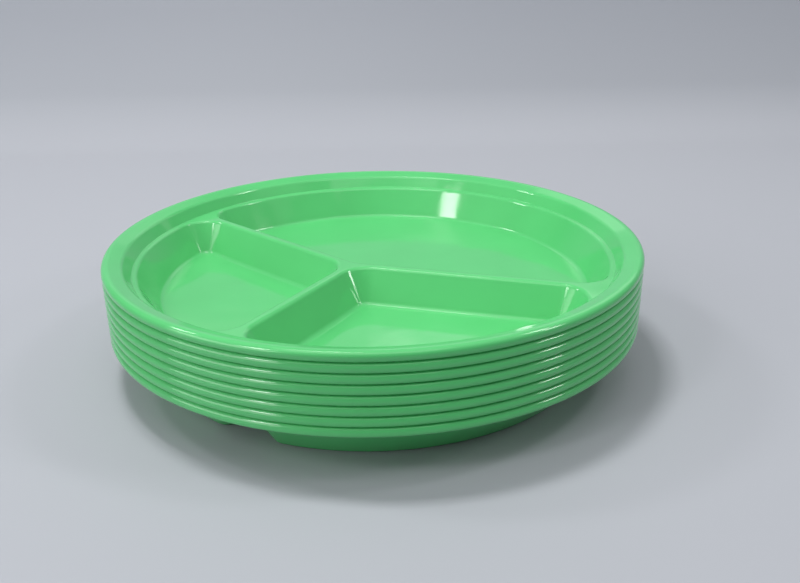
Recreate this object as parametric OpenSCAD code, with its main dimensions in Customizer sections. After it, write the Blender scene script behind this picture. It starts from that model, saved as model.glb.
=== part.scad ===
// Stack of eight nested round plates, each with three wells and hollow dividing ridges.
// Units are millimetres. The origin is the centre of the underside of the lowest plate.
// The largest well faces +Y and the stack rises along +Z.

/* [Plate] */
// outside diameter over the rim
plate_d = 254; // [230:1:300]
// depth of the wells below the ledge
well_depth = 15.3; // [12:0.1:20]
// rise from the ledge to the crest of the rim
rim_rise = 7.4; // [6:0.1:9]
// thickness of the walls and the rim
wall_t = 1.9; // [1.4:0.05:2.2]
// thickness of the floors
floor_t = 2.3; // [1.8:0.05:2.6]
// lean of the straight well walls from upright, degrees
draft = 30.5; // [28:0.5:36]
// further lean of the round well walls near the rim, degrees
bowl_more = 1; // [0.5:0.1:3]

/* [Stack] */
// gap between the walls of nested plates, square to them
nest_gap = 0.33; // [0.3:0.01:0.6]
// gap between the rims of nested plates
rim_gap = 0.05; // [0.03:0.01:0.2]

/* [Wells] */
// radius where the walls meet the floors
floor_r = 3.2; // [2:0.1:5]
// radius under the foot of the walls
foot_r = 3.6; // [2:0.1:5]
// radius under the top edges of the walls
edge_under_r = 0.6; // [0.3:0.1:1]
// radius of the upright corners at floor height
corner_r = 4.6; // [3.5:0.1:7]

/* [Ridges] */
// width of the flat on top of the ridges
ridge_flat = 1.2; // [0.8:0.1:4]
// distance from the plate centre to the point where the ridges meet
ridge_meet = 21; // [10:0.5:30]
// angle of the two side ridges above square to the front ridge, degrees
side_angle = 13.7; // [6:0.1:20]

/* [Rim] */
// radial width of the ledge around the wells
ledge_w = 2; // [1.8:0.1:4]
// radial width of the steep slope outside the ledge
slope_w = 3.6; // [3:0.1:5]
// radial width of the gentle slope up to the crest
shoulder_w = 5.7; // [4:0.1:8]
// height that the gentle slope climbs
shoulder_rise = 1.8; // [1:0.1:2.4]
// radial width from the crest's start to the edge
crest_w = 3.3; // [3.2:0.1:4]
// radial width of the solid bead at the edge
bead_w = 3; // [2.6:0.1:3.1]
// radius on the upper outer edge of the rim, as a share of the edge's height
rim_round_share = 0.52; // [0.3:0.01:0.54]
// radius on the lower outer edge of the rim, as a share of the edge's height
lip_round_share = 0.43; // [0.1:0.01:0.44]
// radius on the lower inner edge of the rim
lip_inner_r = 0.3; // [0.2:0.1:0.5]
// radius where the bead meets the underside of the rim
root_r = 1; // [0.5:0.1:1.2]
// radius where the ledge meets the steep slope
slope_foot_r = 0.5; // [0.3:0.1:0.6]
// radius under the shoulder between the two slopes
shoulder_under_r = 1.1; // [0.5:0.1:2]

/* [Hidden] */
$fn = 128;

// heights in one plate
ledge_z = floor_t + well_depth;
crest_z = ledge_z + rim_rise;
shoulder_z = crest_z - shoulder_rise;

// radii from the plate centre, from the edge inwards
edge_radius = plate_d / 2;
bead_radius = edge_radius - bead_w;
crest_radius = edge_radius - crest_w;
shoulder_radius = crest_radius - shoulder_w;
slope_radius = shoulder_radius - slope_w;
well_radius = slope_radius - ledge_w;

// angles of the two slopes above level, degrees
slope_a = atan2(shoulder_z - ledge_z, slope_w);
crest_a = atan2(shoulder_rise, shoulder_w);

// The steepest wall decides how far one plate sits above the next.
stack_step = (wall_t + nest_gap) / min(sin(draft), cos(slope_a));

// height and roundings of the solid bead at the edge, which rests just clear of the rim below
edge_h = stack_step - rim_gap;
lip_z = crest_z - edge_h;
rim_r = edge_h * rim_round_share;
lip_r = edge_h * lip_round_share;

// share of a wall by which cuts run past what they cut
overrun_share = 0.6;
over = wall_t * overrun_share;
// reach of a straight cut, past every well
far = plate_d;
// angle by which each rounding stops short of tangent, degrees
crease = 5;
// straight stretches in the rounding of a wall's foot or edge, and flats on an upright corner
round_parts = 3;
corner_flats = 3;
// size of a rounding's tip as shares of its radius
tip_reach_share = 1.2;
tip_back_share = 0.5;

// lean of the round walls, and their roundings as a share of those of the straight walls
bowl_draft = draft + bowl_more;
bowl_round_share = 0.85;

// horizontal reach over a height of a wall that leans by a
function lean(h, a = draft) = h * tan(a);
// distance from the corner at the foot or top of a wall to the end of its rounding
function setback(r, a = draft) = r * tan((90 - a) / 2);
// sideways step between the two faces of a wall, each taken where it meets its own floor level
function skin(a) = wall_t / cos(a) - lean(floor_t, a);
edge_r = edge_under_r + wall_t;

// Every well is a core outline, widened by corner_r at floor height and by the lean above it.
core_radius = well_radius - lean(well_depth, bowl_draft) - corner_r;
core_offset = ridge_flat / 2 + setback(edge_r) + lean(well_depth) + corner_r;

// unit vector at an angle
function dir(a) = [cos(a), sin(a)];
// a vector turned a quarter turn clockwise
function quarter_turn(n) = [n[1], -n[0]];
// angle of a point seen from the plate centre
function bearing(p) = atan2(p[1], p[0]);
// where the core ring crosses the line that lies q along n from the centre
function on_ring(n, q) = n * q + quarter_turn(n) * sqrt(core_radius * core_radius - q * q);
// corner of two lines through p, at angles a then b, both moved to their right by t
function mitre(p, a, b, t) = p + (dir(a - 90) + dir(b - 90)) * t / (1 + cos(a - b));

// Cuts that bound a well, as [distance of the core line from the plate centre, direction that it faces].
// a straight side through p, and the flats that round a corner at p between two directions
function side_cut(p, a) = [p * dir(a), a];
function corner_cuts(p, a1, a2) =
    [for (k = [1 : corner_flats]) side_cut(p, a1 + (a2 - a1) * k / (corner_flats + 1))];

side_normal = dir(90 + side_angle);
side_base = -ridge_meet * side_normal[1];
large_end = on_ring(side_normal, side_base + core_offset);
small_end = on_ring(side_normal, side_base - core_offset);
small_meet = [core_offset, (side_base - core_offset - core_offset * side_normal[0]) / side_normal[1]];
small_front = [core_offset, -sqrt(core_radius * core_radius - core_offset * core_offset)];

large_right_cuts = concat(
    [side_cut(large_end, side_angle - 90)],
    corner_cuts(large_end, side_angle - 90, bearing(large_end))
);
large_cuts = concat(large_right_cuts, [for (c = large_right_cuts) [c[0], 180 - c[1]]]);
small_cuts = concat(
    [side_cut(small_meet, 90 + side_angle), side_cut(small_meet, 180)],
    corner_cuts(small_meet, 90 + side_angle, 180),
    corner_cuts(small_front, 180, 360 + bearing(small_front)),
    corner_cuts(small_end, bearing(small_end), 90 + side_angle)
);

// Sharp tip between two edges that leave p at angles a1 and a2, outside a circle of radius r
module corner_tip(p, a1, a2, r) {
    half = abs(a1 - a2) / 2;
    mid = (a1 + a2) / 2;
    turn = a1 > a2 ? 90 : -90;
    centre = p + dir(mid) * r * cos(crease) / sin(half);
    difference() {
        polygon([
            centre,
            centre + dir(a1 + turn) * r * tip_reach_share,
            p - dir(mid) * r * tip_back_share,
            centre + dir(a2 - turn) * r * tip_reach_share
        ]);
        translate(centre)
            circle(r);
    }
}

// Points along an arc, from angle a1 to a2
function arc_points(centre, r, a1, a2) =
    [for (k = [0 : round_parts]) centre + dir(a1 + (a2 - a1) * k / round_parts) * r];

// Wall of a well in section, x across and y up, as points from the floor to the ledge.
// The wall leans by a and runs from x = rf at the level z0 to the level zt.
// foot and edge are the radii at its ends.
function wall_points(a, rf, z0, zt, foot, edge) = concat(
    arc_points([rf - setback(foot, a), z0 + foot], foot, -90, -a),
    arc_points([rf + lean(zt - z0, a) + setback(edge, a), zt - edge], edge, 180 - a, 90)
);

// Solid beyond the wall whose core line lies cut[0] from the plate centre, towards cut[1]
module beyond(cut, wall, z0, zt) {
    top = zt + over + over;
    rotate([0, 0, cut[1]])
        translate([cut[0], far / 2, 0])
            rotate([90, 0, 0])
                linear_extrude(height = far)
                    polygon(concat(
                        [[-over, z0 - over], [-over, z0]],
                        wall,
                        [[wall[len(wall) - 1][0], top], [far, top], [far, z0 - over]]
                    ));
}

// Round bowl from which every well is cut down
module bowl(wall, z0, zt) {
    rotate_extrude()
        polygon(concat(
            [[0, z0]],
            [for (p = wall) p + [core_radius, 0]],
            [[core_radius + wall[len(wall) - 1][0], zt + over], [0, zt + over]]
        ));
}

// Bowl less the first count cuts, made one at a time
module cut_bowl(cuts, count, walls, z0, zt) {
    if (count == 0) {
        bowl(walls[0], z0, zt);
    } else {
        difference() {
            cut_bowl(cuts, count - 1, walls, z0, zt);
            beyond(cuts[count - 1], walls[1], z0, zt);
        }
    }
}

// Well behind the two side ridges
module large_well(walls, z0, zt) {
    cut_bowl(large_cuts, len(large_cuts), walls, z0, zt);
}

// Well on the +X side of the front ridge
module small_well(walls, z0, zt) {
    cut_bowl(small_cuts, len(small_cuts), walls, z0, zt);
}

// Sections of the round wall and of the straight walls, on the inside and the outside of a well
function inner_walls() = [
    wall_points(
        bowl_draft, corner_r, floor_t, ledge_z,
        floor_r * bowl_round_share, edge_r * bowl_round_share
    ),
    wall_points(draft, corner_r, floor_t, ledge_z, floor_r, edge_r)
];
function outer_walls() = [
    wall_points(
        bowl_draft, corner_r + skin(bowl_draft), 0, ledge_z - wall_t,
        foot_r * bowl_round_share, edge_under_r * bowl_round_share
    ),
    wall_points(draft, corner_r + skin(draft), 0, ledge_z - wall_t, foot_r, edge_under_r)
];

// The three wells together, between the levels z0 and zt
module wells(walls, z0, zt) {
    large_well(walls, z0, zt);
    small_well(walls, z0, zt);
    mirror([1, 0, 0])
        small_well(walls, z0, zt);
}

// Disc at ledge height with the rim around it, in section
module rim_section() {
    foot = [slope_radius, ledge_z];
    shoulder = [shoulder_radius, shoulder_z];
    foot_under = mitre(foot, 0, slope_a, wall_t);
    shoulder_under = mitre(shoulder, slope_a, crest_a, wall_t);
    root = [bead_radius, shoulder_under[1] + (bead_radius - shoulder_under[0]) * tan(crest_a)];
    difference() {
        union() {
            polygon([
                [0, ledge_z],
                foot,
                shoulder,
                [crest_radius, crest_z],
                [edge_radius, crest_z],
                [edge_radius, lip_z],
                [bead_radius, lip_z],
                root,
                shoulder_under,
                foot_under,
                [0, ledge_z - wall_t]
            ]);
            corner_tip(foot, 180, slope_a, slope_foot_r);
            corner_tip(root, -90, crest_a - 180, root_r);
            corner_tip(shoulder_under, slope_a - 180, crest_a, shoulder_under_r);
        }
        corner_tip(shoulder, slope_a - 180, crest_a, shoulder_under_r + wall_t);
        corner_tip(foot_under, 180, slope_a, slope_foot_r + wall_t);
        corner_tip([edge_radius, crest_z], 180, 270, rim_r);
        corner_tip([edge_radius, lip_z], 90, 180, lip_r);
        corner_tip([bead_radius, lip_z], 0, 90, lip_inner_r);
    }
}

// One plate: the rim and the outside of the wells, less the inside of the wells
module plate_body() {
    difference() {
        union() {
            rotate_extrude()
                rim_section();
            wells(outer_walls(), 0, ledge_z - wall_t);
        }
        wells(inner_walls(), floor_t, ledge_z);
    }
}

// The plate at one place in the stack, counted from 0 at the bottom
module plate(place) {
    color([0.27, 0.78, 0.40])
        translate([0, 0, place * stack_step])
            plate_body();
}

plate(0);  // plate_1
plate(1);  // plate_2
plate(2);  // plate_3
plate(3);  // plate_4
plate(4);  // plate_5
plate(5);  // plate_6
plate(6);  // plate_7
plate(7);  // plate_8
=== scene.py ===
import math

import bmesh
import bpy
from mathutils import Matrix, Quaternion, Vector
from mathutils.geometry import tessellate_polygon


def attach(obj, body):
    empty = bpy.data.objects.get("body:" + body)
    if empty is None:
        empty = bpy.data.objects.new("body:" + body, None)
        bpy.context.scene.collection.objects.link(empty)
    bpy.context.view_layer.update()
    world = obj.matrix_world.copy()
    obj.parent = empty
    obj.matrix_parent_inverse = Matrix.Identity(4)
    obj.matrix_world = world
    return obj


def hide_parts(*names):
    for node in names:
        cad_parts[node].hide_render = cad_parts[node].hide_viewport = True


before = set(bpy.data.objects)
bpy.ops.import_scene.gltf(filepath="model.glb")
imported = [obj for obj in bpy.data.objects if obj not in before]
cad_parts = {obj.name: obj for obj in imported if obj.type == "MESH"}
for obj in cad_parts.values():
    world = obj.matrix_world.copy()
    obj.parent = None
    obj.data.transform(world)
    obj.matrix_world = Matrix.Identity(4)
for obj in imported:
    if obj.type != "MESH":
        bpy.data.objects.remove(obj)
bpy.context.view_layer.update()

# The plate's sizes, in millimetres, as the part has them
MM = 0.001
PLATES = 8
PLATE_D = 254.0
WELL_DEPTH = 15.3
RIM_RISE = 7.4
WALL_T = 1.9
FLOOR_T = 2.3
DRAFT = math.radians(30.5)
BOWL_DRAFT = math.radians(31.5)
NEST_GAP = 0.33
RIM_GAP = 0.05
FLOOR_R = 3.2
FOOT_R = 3.6
EDGE_UNDER_R = 0.6
CORNER_R = 4.6
RIDGE_FLAT = 1.2
RIDGE_MEET = 21.0
SIDE_ANGLE = math.radians(13.7)
LEDGE_W = 2.0
SLOPE_W = 3.6
SHOULDER_W = 5.7
SHOULDER_RISE = 1.8
CREST_W = 3.3
BEAD_W = 3.0
RIM_ROUND_SHARE = 0.52
LIP_ROUND_SHARE = 0.43
LIP_INNER_R = 0.3
ROOT_R = 1.0
SLOPE_FOOT_R = 0.5
SHOULDER_UNDER_R = 1.1
BOWL_ROUND_SHARE = 0.85

# Sizes that follow from them
LEDGE_Z = FLOOR_T + WELL_DEPTH
CREST_Z = LEDGE_Z + RIM_RISE
SHOULDER_Z = CREST_Z - SHOULDER_RISE
EDGE_RADIUS = PLATE_D / 2
BEAD_RADIUS = EDGE_RADIUS - BEAD_W
CREST_RADIUS = EDGE_RADIUS - CREST_W
SHOULDER_RADIUS = CREST_RADIUS - SHOULDER_W
SLOPE_RADIUS = SHOULDER_RADIUS - SLOPE_W
WELL_RADIUS = SLOPE_RADIUS - LEDGE_W
SLOPE_A = math.atan2(SHOULDER_Z - LEDGE_Z, SLOPE_W)
CREST_A = math.atan2(SHOULDER_RISE, SHOULDER_W)
STACK_STEP = (WALL_T + NEST_GAP) / min(math.sin(DRAFT), math.cos(SLOPE_A))
EDGE_H = STACK_STEP - RIM_GAP
LIP_Z = CREST_Z - EDGE_H
RIM_R = EDGE_H * RIM_ROUND_SHARE
LIP_R = EDGE_H * LIP_ROUND_SHARE
EDGE_R = EDGE_UNDER_R + WALL_T
TAN_SETBACK = math.tan((math.pi / 2 - DRAFT) / 2)
CORE_RADIUS = WELL_RADIUS - WELL_DEPTH * math.tan(BOWL_DRAFT) - CORNER_R
CORE_OFFSET = RIDGE_FLAT / 2 + EDGE_R * TAN_SETBACK + WELL_DEPTH * math.tan(DRAFT) + CORNER_R

# How finely the visible meshes are cut
RIM_STEPS = 288
RING_STEP = math.radians(2.0)
CORNER_STEP = math.radians(6.0)
STRAIGHT_STEP = 8.0
ARC_STEP = math.radians(9.0)
FLAT_MARGIN = 0.1
LONG_STRETCH = 1.0
BEND_STEP = math.radians(3.0)
SAME_PLACE = 1e-6
SAME_DIRECTION = 0.01
STEP_SLACK = 1e-9


def direction(angle):
    return Vector((math.cos(angle), math.sin(angle)))


def steps(first, last, size):
    """Evenly spaced values from first to last, no further apart than size."""
    count = max(1, math.ceil(abs(last - first) / size - STEP_SLACK))
    return [first + (last - first) * i / count for i in range(count + 1)]


def arc(centre, radius, first, last):
    """Points of an arc in a section, from one angle to the other."""
    return [centre + radius * direction(a) for a in steps(first, last, ARC_STEP)]


def rounded(corner, before, after, radius):
    """Arc that rounds a section's corner, given the outline's directions before and after it."""
    turn = after - before
    side = 1 if turn > 0 else -1
    reach = radius * math.tan(abs(turn) / 2)
    centre = corner - reach * direction(before) + radius * direction(before + side * math.pi / 2)
    first = before - side * math.pi / 2
    return arc(centre, radius, first, first + turn)


def braced(points):
    """Adds a point near each end of every long stretch of a section, which keeps it shaded flat."""
    result = [points[0]]
    for here, after in zip(points, points[1:]):
        margin = (after - here).normalized() * FLAT_MARGIN
        if (after - here).length > LONG_STRETCH:
            result += [here + margin, after - margin]
        result.append(after)
    return result


def on_ring(normal, distance):
    """Where the core ring crosses the line that lies at this distance along the normal."""
    along = Vector((normal.y, -normal.x))
    return normal * distance + along * math.sqrt(CORE_RADIUS ** 2 - distance ** 2)


def bearing(point):
    return math.atan2(point.y, point.x)


def trace(parts):
    """Core outline from ring arcs and corners, as (point, outward normal, share of round wall)."""
    marks = []
    for kind, point, first, last, shares in parts:
        size = RING_STEP if kind == "ring" else CORNER_STEP
        for angle in steps(first, last, size):
            normal = direction(angle)
            here = normal * CORE_RADIUS if kind == "ring" else point
            add_straight(marks, here, normal)
            done = (angle - first) / (last - first)
            marks.append((here, normal, shares[0] + (shares[1] - shares[0]) * done))
    add_straight(marks, marks[0][0], marks[0][1])
    return drop_repeats(marks)


def add_straight(marks, here, normal):
    """Fills a straight stretch with points at even steps."""
    if not marks:
        return
    start = marks[-1][0]
    length = (here - start).length
    if length < STRAIGHT_STEP or (marks[-1][1] - normal).length > SAME_DIRECTION:
        return
    for share in steps(0, 1, STRAIGHT_STEP / length)[1:-1]:
        marks.append((start.lerp(here, share), normal, 0.0))


def apart(a, b):
    """Whether two marks differ in place or in direction."""
    return (a[0] - b[0]).length + (a[1] - b[1]).length > SAME_PLACE


def drop_repeats(marks):
    kept = []
    for mark in marks:
        if not kept or apart(mark, kept[-1]):
            kept.append(mark)
    if not apart(kept[-1], kept[0]):
        kept.pop()
    return kept


def flipped(core):
    """The same outline on the other side of the plate."""
    return [(Vector((-p.x, p.y)), Vector((-n.x, n.y)), share) for p, n, share in reversed(core)]


def well_cores():
    """The outlines of the three wells, each to be widened by a wall's section."""
    normal = direction(math.pi / 2 + SIDE_ANGLE)
    base = -RIDGE_MEET * normal.y
    end = on_ring(normal, base + CORE_OFFSET)
    meet = Vector((0.0, CORE_OFFSET / math.cos(SIDE_ANGLE) - RIDGE_MEET))
    turn = bearing(end)
    left_end = Vector((-end.x, end.y))
    left_side = math.pi * 1.5 - SIDE_ANGLE
    right_side = math.pi * 1.5 + SIDE_ANGLE
    large = trace([
        ("ring", None, turn, math.pi - turn, (1, 1)),
        ("corner", left_end, math.pi - turn, left_side, (1, 0)),
        ("corner", meet, left_side, right_side, (0, 0)),
        ("corner", end, right_side, math.tau + turn, (0, 1)),
    ])
    inner = Vector((CORE_OFFSET, (base - CORE_OFFSET - CORE_OFFSET * normal.x) / normal.y))
    side = on_ring(normal, base - CORE_OFFSET)
    front = Vector((CORE_OFFSET, -math.sqrt(CORE_RADIUS ** 2 - CORE_OFFSET ** 2)))
    small = trace([
        ("ring", None, bearing(front), bearing(side), (1, 1)),
        ("corner", side, bearing(side), math.pi / 2 + SIDE_ANGLE, (1, 0)),
        ("corner", inner, math.pi / 2 + SIDE_ANGLE, math.pi, (0, 0)),
        ("corner", front, math.pi, math.tau + bearing(front), (0, 1)),
    ])
    return [large, small, flipped(small)]


def wall_section(lean, foot_w, floor_z, ledge_z, edge_r, foot_r):
    """A wall from the ledge down to the floor, as (widening of the core, height) points."""
    setback = math.tan((math.pi / 2 - lean) / 2)
    edge = Vector((foot_w + (ledge_z - floor_z) * math.tan(lean), ledge_z))
    foot = Vector((foot_w, floor_z))
    down = -math.pi / 2 - lean
    points = [edge + Vector((edge_r * setback + FLAT_MARGIN, 0))]
    points += rounded(edge, -math.pi, down, edge_r)
    points += rounded(foot, down, -math.pi, foot_r)
    points.append(foot - Vector((foot_r * setback + FLAT_MARGIN, 0)))
    return braced(points)


def wall_sections(outside):
    """Sections of a well's straight walls and of its round wall, which match point for point."""
    sections = []
    for lean, share in ((DRAFT, 1.0), (BOWL_DRAFT, BOWL_ROUND_SHARE)):
        if outside:
            foot_w = CORNER_R + WALL_T / math.cos(lean) - FLOOR_T * math.tan(lean)
            low, high, edge_r, foot_r = 0, LEDGE_Z - WALL_T, EDGE_UNDER_R, FOOT_R
        else:
            foot_w = CORNER_R
            low, high, edge_r, foot_r = FLOOR_T, LEDGE_Z, EDGE_R, FLOOR_R
        sections.append(wall_section(lean, foot_w, low, high, edge_r * share, foot_r * share))
    return sections


def moved_right(corner, before, after, distance):
    """Corner of two lines through a point, both moved to their right."""
    shift = direction(before - math.pi / 2) + direction(after - math.pi / 2)
    return corner + shift * distance / (1 + math.cos(before - after))


def rim_section():
    """The rim from the ledge over the edge to the ledge's underside, as (radius, height) points."""
    foot = Vector((SLOPE_RADIUS, LEDGE_Z))
    shoulder = Vector((SHOULDER_RADIUS, SHOULDER_Z))
    crest = Vector((CREST_RADIUS, CREST_Z))
    foot_under = moved_right(foot, 0, SLOPE_A, WALL_T)
    shoulder_under = moved_right(shoulder, SLOPE_A, CREST_A, WALL_T)
    root_rise = (BEAD_RADIUS - shoulder_under.x) * math.tan(CREST_A)
    root = Vector((BEAD_RADIUS, shoulder_under.y + root_rise))
    half = math.pi / 2
    top_reach = SLOPE_FOOT_R * math.tan(SLOPE_A / 2) + FLAT_MARGIN
    under_reach = (SLOPE_FOOT_R + WALL_T) * math.tan(SLOPE_A / 2) + FLAT_MARGIN
    points = [foot - Vector((top_reach, 0))]
    points += rounded(foot, 0, SLOPE_A, SLOPE_FOOT_R)
    points += rounded(shoulder, SLOPE_A, CREST_A, SHOULDER_UNDER_R + WALL_T)
    points += rounded(crest, CREST_A, 0, CREST_W)
    points += rounded(Vector((EDGE_RADIUS, CREST_Z)), 0, -half, RIM_R)
    points += rounded(Vector((EDGE_RADIUS, LIP_Z)), -half, -math.pi, LIP_R)
    points += rounded(Vector((BEAD_RADIUS, LIP_Z)), -math.pi, -math.pi - half, LIP_INNER_R)
    points += rounded(root, half, math.pi + CREST_A, ROOT_R)
    points += rounded(shoulder_under, math.pi + CREST_A, math.pi + SLOPE_A, SHOULDER_UNDER_R)
    points += rounded(foot_under, math.pi + SLOPE_A, math.pi, SLOPE_FOOT_R + WALL_T)
    points.append(foot_under - Vector((under_reach, 0)))
    return braced(points)


class Shell:
    """Rings of points joined into one closed surface."""

    def __init__(self):
        self.points = []
        self.faces = []

    def ring(self, places):
        first = len(self.points)
        self.points += [(x * MM, y * MM, z * MM) for x, y, z in places]
        return list(range(first, len(self.points)))

    def join(self, a, b):
        for i, here in enumerate(a):
            after = (i + 1) % len(a)
            self.faces.append((here, a[after], b[after], b[i]))

    def widened(self, core, sections):
        """Sweeps a wall's sections around a core outline and returns the first and last rings."""
        rings = []
        for straight, bowl in zip(*sections):
            places = []
            for point, normal, share in core:
                wide, height = straight.lerp(bowl, share)
                places.append((point.x + normal.x * wide, point.y + normal.y * wide, height))
            rings.append(self.ring(places))
        for a, b in zip(rings, rings[1:]):
            self.join(a, b)
        return rings[0], rings[-1]

    def cap(self, rings):
        """Fills a level stretch that one ring bounds and any others leave open."""
        outlines = [[Vector(self.points[i]) for i in ring] for ring in rings]
        order = [i for ring in rings for i in ring]
        self.faces += [tuple(order[i] for i in face) for face in tessellate_polygon(outlines)]

    def mesh(self, name):
        made = bpy.data.meshes.new(name)
        made.from_pydata(self.points, [], self.faces)
        made.validate()
        made.shade_smooth()
        return made


def plate_shell():
    """One plate standing on level 0."""
    shell = Shell()
    around = [direction(math.tau * i / RIM_STEPS) for i in range(RIM_STEPS)]
    rim = [shell.ring([(d.x * r, d.y * r, z) for d in around]) for r, z in rim_section()]
    for a, b in zip(rim, rim[1:]):
        shell.join(a, b)
    for edge_ring, outside in ((rim[0], False), (rim[-1], True)):
        openings = []
        for core in well_cores():
            top, bottom = shell.widened(core, wall_sections(outside))
            openings.append(top)
            shell.cap([bottom])
        shell.cap([edge_ring] + openings)
    return shell


def face_outwards(mesh):
    """Turns every face of a closed surface to the outside."""
    work = bmesh.new()
    work.from_mesh(mesh)
    bmesh.ops.recalc_face_normals(work, faces=work.faces)
    work.to_mesh(mesh)
    work.free()


def make_plates(material):
    """A dressed plate on every body of the stack."""
    mesh = plate_shell().mesh("plate_shell")
    face_outwards(mesh)
    mesh.materials.append(material)
    for place, node in enumerate(sorted(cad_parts)):
        piece = bpy.data.objects.new(node + "_shell", mesh)
        bpy.context.scene.collection.objects.link(piece)
        piece.location.z = place * STACK_STEP * MM
        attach(piece, node)
        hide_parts(node)


def node_of(tree, kind, **values):
    made = tree.nodes.new(kind)
    for key, value in values.items():
        made.inputs[key.replace("_", " ")].default_value = value
    return made


def new_material(name):
    material = bpy.data.materials.new(name)
    material.use_nodes = True
    tree = material.node_tree
    return material, tree, tree.nodes["Principled BSDF"]


def noise_of(tree, **values):
    """Noise over the object's own coordinates."""
    place = tree.nodes.new("ShaderNodeTexCoord")
    noise = node_of(tree, "ShaderNodeTexNoise", **values)
    tree.links.new(place.outputs["Object"], noise.inputs["Vector"])
    return noise.outputs["Fac"]


def tint_of(tree, shader, value, colours):
    """Base colour that follows a value through (position, colour) pairs."""
    tint = tree.nodes.new("ShaderNodeValToRGB")
    elements = tint.color_ramp.elements
    elements[0].position = colours[0][0]
    elements[1].position = colours[-1][0]
    for position, _ in colours[1:-1]:
        elements.new(position)
    for element, (_, colour) in zip(elements, colours):
        element.color = (*colour, 1)
    tree.links.new(value, tint.inputs["Fac"])
    tree.links.new(tint.outputs["Color"], shader.inputs["Base Color"])


GREEN_TINTS = [(0.35, (0.045, 0.484, 0.117)), (0.65, (0.052, 0.514, 0.129))]
CLOUDS = dict(Scale=26.0, Detail=3.0, Roughness=0.5)
HANDLING_MARKS = dict(Scale=140.0, Detail=6.0, Roughness=0.65)
MARKS_TO_GLOSS = dict(From_Min=0.35, From_Max=0.7, To_Min=0.075, To_Max=0.115)
WAVES = dict(Scale=55.0, Detail=1.0)
WAVE_BUMP = dict(Strength=0.25, Distance=0.0006)
PLASTIC_ROUGHNESS = 0.7
PLASTIC_SPECULAR = 0.9


def green_plastic():
    """Glossy moulded plastic, a little wavy, with faint handling marks."""
    material, tree, shader = new_material("green_plastic")
    link = tree.links.new
    shader.inputs["Roughness"].default_value = PLASTIC_ROUGHNESS
    shader.inputs["Specular IOR Level"].default_value = PLASTIC_SPECULAR
    shader.inputs["Coat Weight"].default_value = 1.0
    tint_of(tree, shader, noise_of(tree, **CLOUDS), GREEN_TINTS)
    gloss = node_of(tree, "ShaderNodeMapRange", **MARKS_TO_GLOSS)
    link(noise_of(tree, **HANDLING_MARKS), gloss.inputs["Value"])
    link(gloss.outputs["Result"], shader.inputs["Coat Roughness"])
    bump = node_of(tree, "ShaderNodeBump", **WAVE_BUMP)
    link(noise_of(tree, **WAVES), bump.inputs["Height"])
    link(bump.outputs["Normal"], shader.inputs["Coat Normal"])
    return material


SHEET_ROUGHNESS = 0.6
# Painted shade: the sheet's colour gets darker with height, standing in for the dimmer light on the
# rising part
SHEET_SHADE_HEIGHT = 0.12
SHEET_PAINTED_SHADE = [
    (0.0, (0.380, 0.393, 0.428)),
    (0.35, (0.300, 0.315, 0.348)),
    (1.0, (0.255, 0.270, 0.303)),
]


def pale_sheet():
    """Matt paper, with painted shade that darkens it where it rises."""
    material, tree, shader = new_material("pale_sheet")
    shader.inputs["Roughness"].default_value = SHEET_ROUGHNESS
    place = tree.nodes.new("ShaderNodeTexCoord")
    axes = tree.nodes.new("ShaderNodeSeparateXYZ")
    height = node_of(tree, "ShaderNodeMapRange", From_Max=SHEET_SHADE_HEIGHT)
    tree.links.new(place.outputs["Object"], axes.inputs["Vector"])
    tree.links.new(axes.outputs["Z"], height.inputs["Value"])
    tint_of(tree, shader, height.outputs["Result"], SHEET_PAINTED_SHADE)
    return material


# Where the camera stands, as the photograph shows the stack
CAMERA_AZIMUTH = math.radians(31.3)
CAMERA_HEIGHT_ANGLE = 0.331205
CAMERA_DISTANCE = 0.415
CAMERA_PITCH = 0.392678
CAMERA_YAW = 0.030858
CAMERA_ROLL = -0.012786
FOCAL_PIXELS = 851.11
IMAGE_WIDTH = 800
SENSOR_WIDTH = 36.0
NEAR_CLIP = 0.01
BEAD_BELOW_CREST = 2.0
TOP_BEAD_Z = (CREST_Z - BEAD_BELOW_CREST + (PLATES - 1) * STACK_STEP) * MM


def make_camera():
    turn = Matrix.Rotation(CAMERA_AZIMUTH, 3, "Z")
    level = CAMERA_DISTANCE * math.cos(CAMERA_HEIGHT_ANGLE)
    place = Vector((0, -level, CAMERA_DISTANCE * math.sin(CAMERA_HEIGHT_ANGLE)))
    ahead = Vector((
        math.sin(CAMERA_YAW) * math.cos(CAMERA_PITCH),
        math.cos(CAMERA_YAW) * math.cos(CAMERA_PITCH),
        -math.sin(CAMERA_PITCH),
    ))
    right = ahead.cross(Vector((0, 0, 1))).normalized()
    up = right.cross(ahead)
    leaned_right = math.cos(CAMERA_ROLL) * right + math.sin(CAMERA_ROLL) * up
    leaned_up = math.cos(CAMERA_ROLL) * up - math.sin(CAMERA_ROLL) * right
    axes = turn @ Matrix((leaned_right, leaned_up, -ahead)).transposed()
    data = bpy.data.cameras.new("camera")
    data.sensor_fit = "HORIZONTAL"
    data.sensor_width = SENSOR_WIDTH
    data.lens = FOCAL_PIXELS / IMAGE_WIDTH * SENSOR_WIDTH
    data.clip_start = NEAR_CLIP
    camera = bpy.data.objects.new("camera", data)
    bpy.context.scene.collection.objects.link(camera)
    where = turn @ place + Vector((0, 0, TOP_BEAD_Z))
    camera.matrix_world = Matrix.Translation(where) @ axes.to_4x4()
    bpy.context.scene.camera = camera


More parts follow.
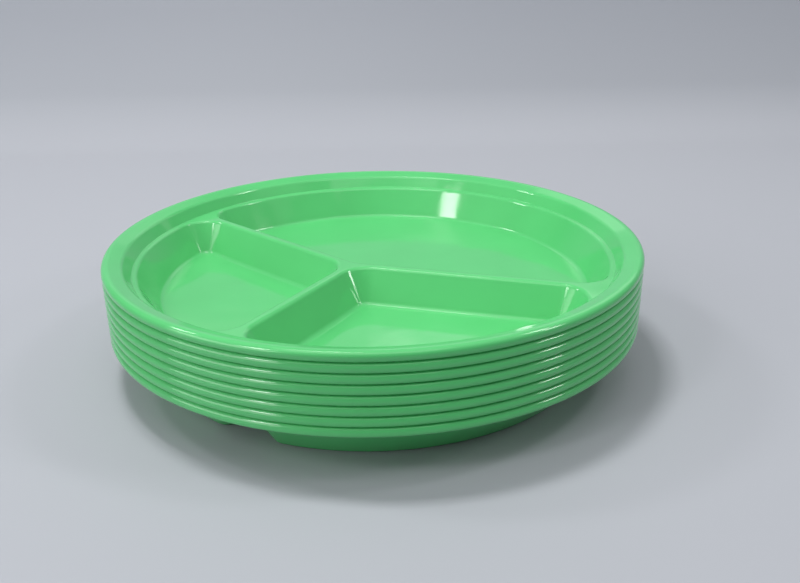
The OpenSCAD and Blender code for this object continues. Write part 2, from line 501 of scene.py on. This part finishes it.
def make_stage():
    """A pale sheet that lies flat under the stack and curves up behind it."""
    flat_back = 0.42
    bend = 0.14
    lean = math.radians(48)
    rise = 1.6
    front = -1.6
    half_width = 1.9
    profile = [Vector((front, 0.0)), Vector((flat_back, 0.0))]
    centre = Vector((flat_back, bend))
    profile += [centre + bend * direction(a - math.pi / 2) for a in steps(0, lean, BEND_STEP)[1:]]
    profile.append(profile[-1] + rise * direction(lean))
    points, faces = [], []
    for along, up in profile:
        points += [(-half_width, along, up), (half_width, along, up)]
    for i in range(len(profile) - 1):
        faces.append((2 * i, 2 * i + 1, 2 * i + 3, 2 * i + 2))
    mesh = bpy.data.meshes.new("sheet")
    mesh.from_pydata(points, [], faces)
    mesh.shade_smooth()
    mesh.materials.append(pale_sheet())
    sheet = bpy.data.objects.new("sheet", mesh)
    sheet.rotation_euler.z = CAMERA_AZIMUTH
    bpy.context.scene.collection.objects.link(sheet)


# The lamps, seen from the middle of the stack: azimuth from the camera's right and elevation in
# degrees, sizes in metres, power in watts. A lamp that isn't mirrored leaves no highlight on the plates.
LAMP_AIM = Vector((0, 0, 0.045))
KEY = dict(azimuth=149, elevation=77, distance=1.5, width=0.34, depth=0.18, twist=-59)
LAMPS = {
    "overhead": dict(azimuth=10, elevation=78, distance=1.7, width=2.2, depth=2.2, power=5.5),
    "key_lamp": dict(KEY, power=3.5, mirrored=False),
    "key_shine": dict(KEY, power=9),
    "front_lamp": dict(azimuth=217, elevation=41.8, distance=1.6, width=0.23, depth=0.30, power=3.5),
    "front_fill": dict(azimuth=262, elevation=67, distance=1.7, width=1.4, depth=0.8, power=4),
    "left_fill": dict(azimuth=208, elevation=22, distance=1.8, width=1.5, depth=0.8, power=11),
    "back_fill": dict(azimuth=66, elevation=31, distance=1.0, width=0.8, depth=0.3, power=0.55),
    "far_fill": dict(azimuth=104, elevation=29, distance=1.0, width=0.57, depth=0.3, power=0.17),
    "left_lamp": dict(azimuth=163, elevation=45, distance=1.5, width=0.14, depth=0.22, power=3),
    "right_lamp": dict(azimuth=346, elevation=32, distance=1.5, width=0.18, depth=0.26, power=2.4),
    "high_lamp": dict(azimuth=2, elevation=51, distance=1.5, width=0.14, depth=0.20, power=2.4),
}
AMBIENT_COLOUR = (0.86, 0.89, 0.94, 1)
AMBIENT_STRENGTH = 0.20


def area_light(name, azimuth, elevation, distance, width, depth, power, twist=0, mirrored=True):
    """A soft box that faces the stack."""
    data = bpy.data.lights.new(name, "AREA")
    data.shape = "RECTANGLE"
    data.size = width
    data.size_y = depth
    data.energy = power
    lamp = bpy.data.objects.new(name, data)
    lamp.visible_glossy = mirrored
    bpy.context.scene.collection.objects.link(lamp)
    turn = math.radians(azimuth) + CAMERA_AZIMUTH
    rise = math.radians(elevation)
    level = math.cos(rise) * direction(turn)
    away = Vector((level.x, level.y, math.sin(rise)))
    lamp.location = LAMP_AIM + away * distance
    spin = Quaternion((0, 0, 1), math.radians(twist))
    lamp.rotation_euler = (away.to_track_quat("Z", "Y") @ spin).to_euler()


def make_light():
    world = bpy.data.worlds.new("studio")
    bpy.context.scene.world = world
    world.use_nodes = True
    background = world.node_tree.nodes["Background"]
    background.inputs["Color"].default_value = AMBIENT_COLOUR
    background.inputs["Strength"].default_value = AMBIENT_STRENGTH
    for name, values in LAMPS.items():
        area_light(name, **values)


bpy.context.scene.view_settings.view_transform = "Standard"
make_camera()
make_stage()
make_light()
make_plates(green_plastic())
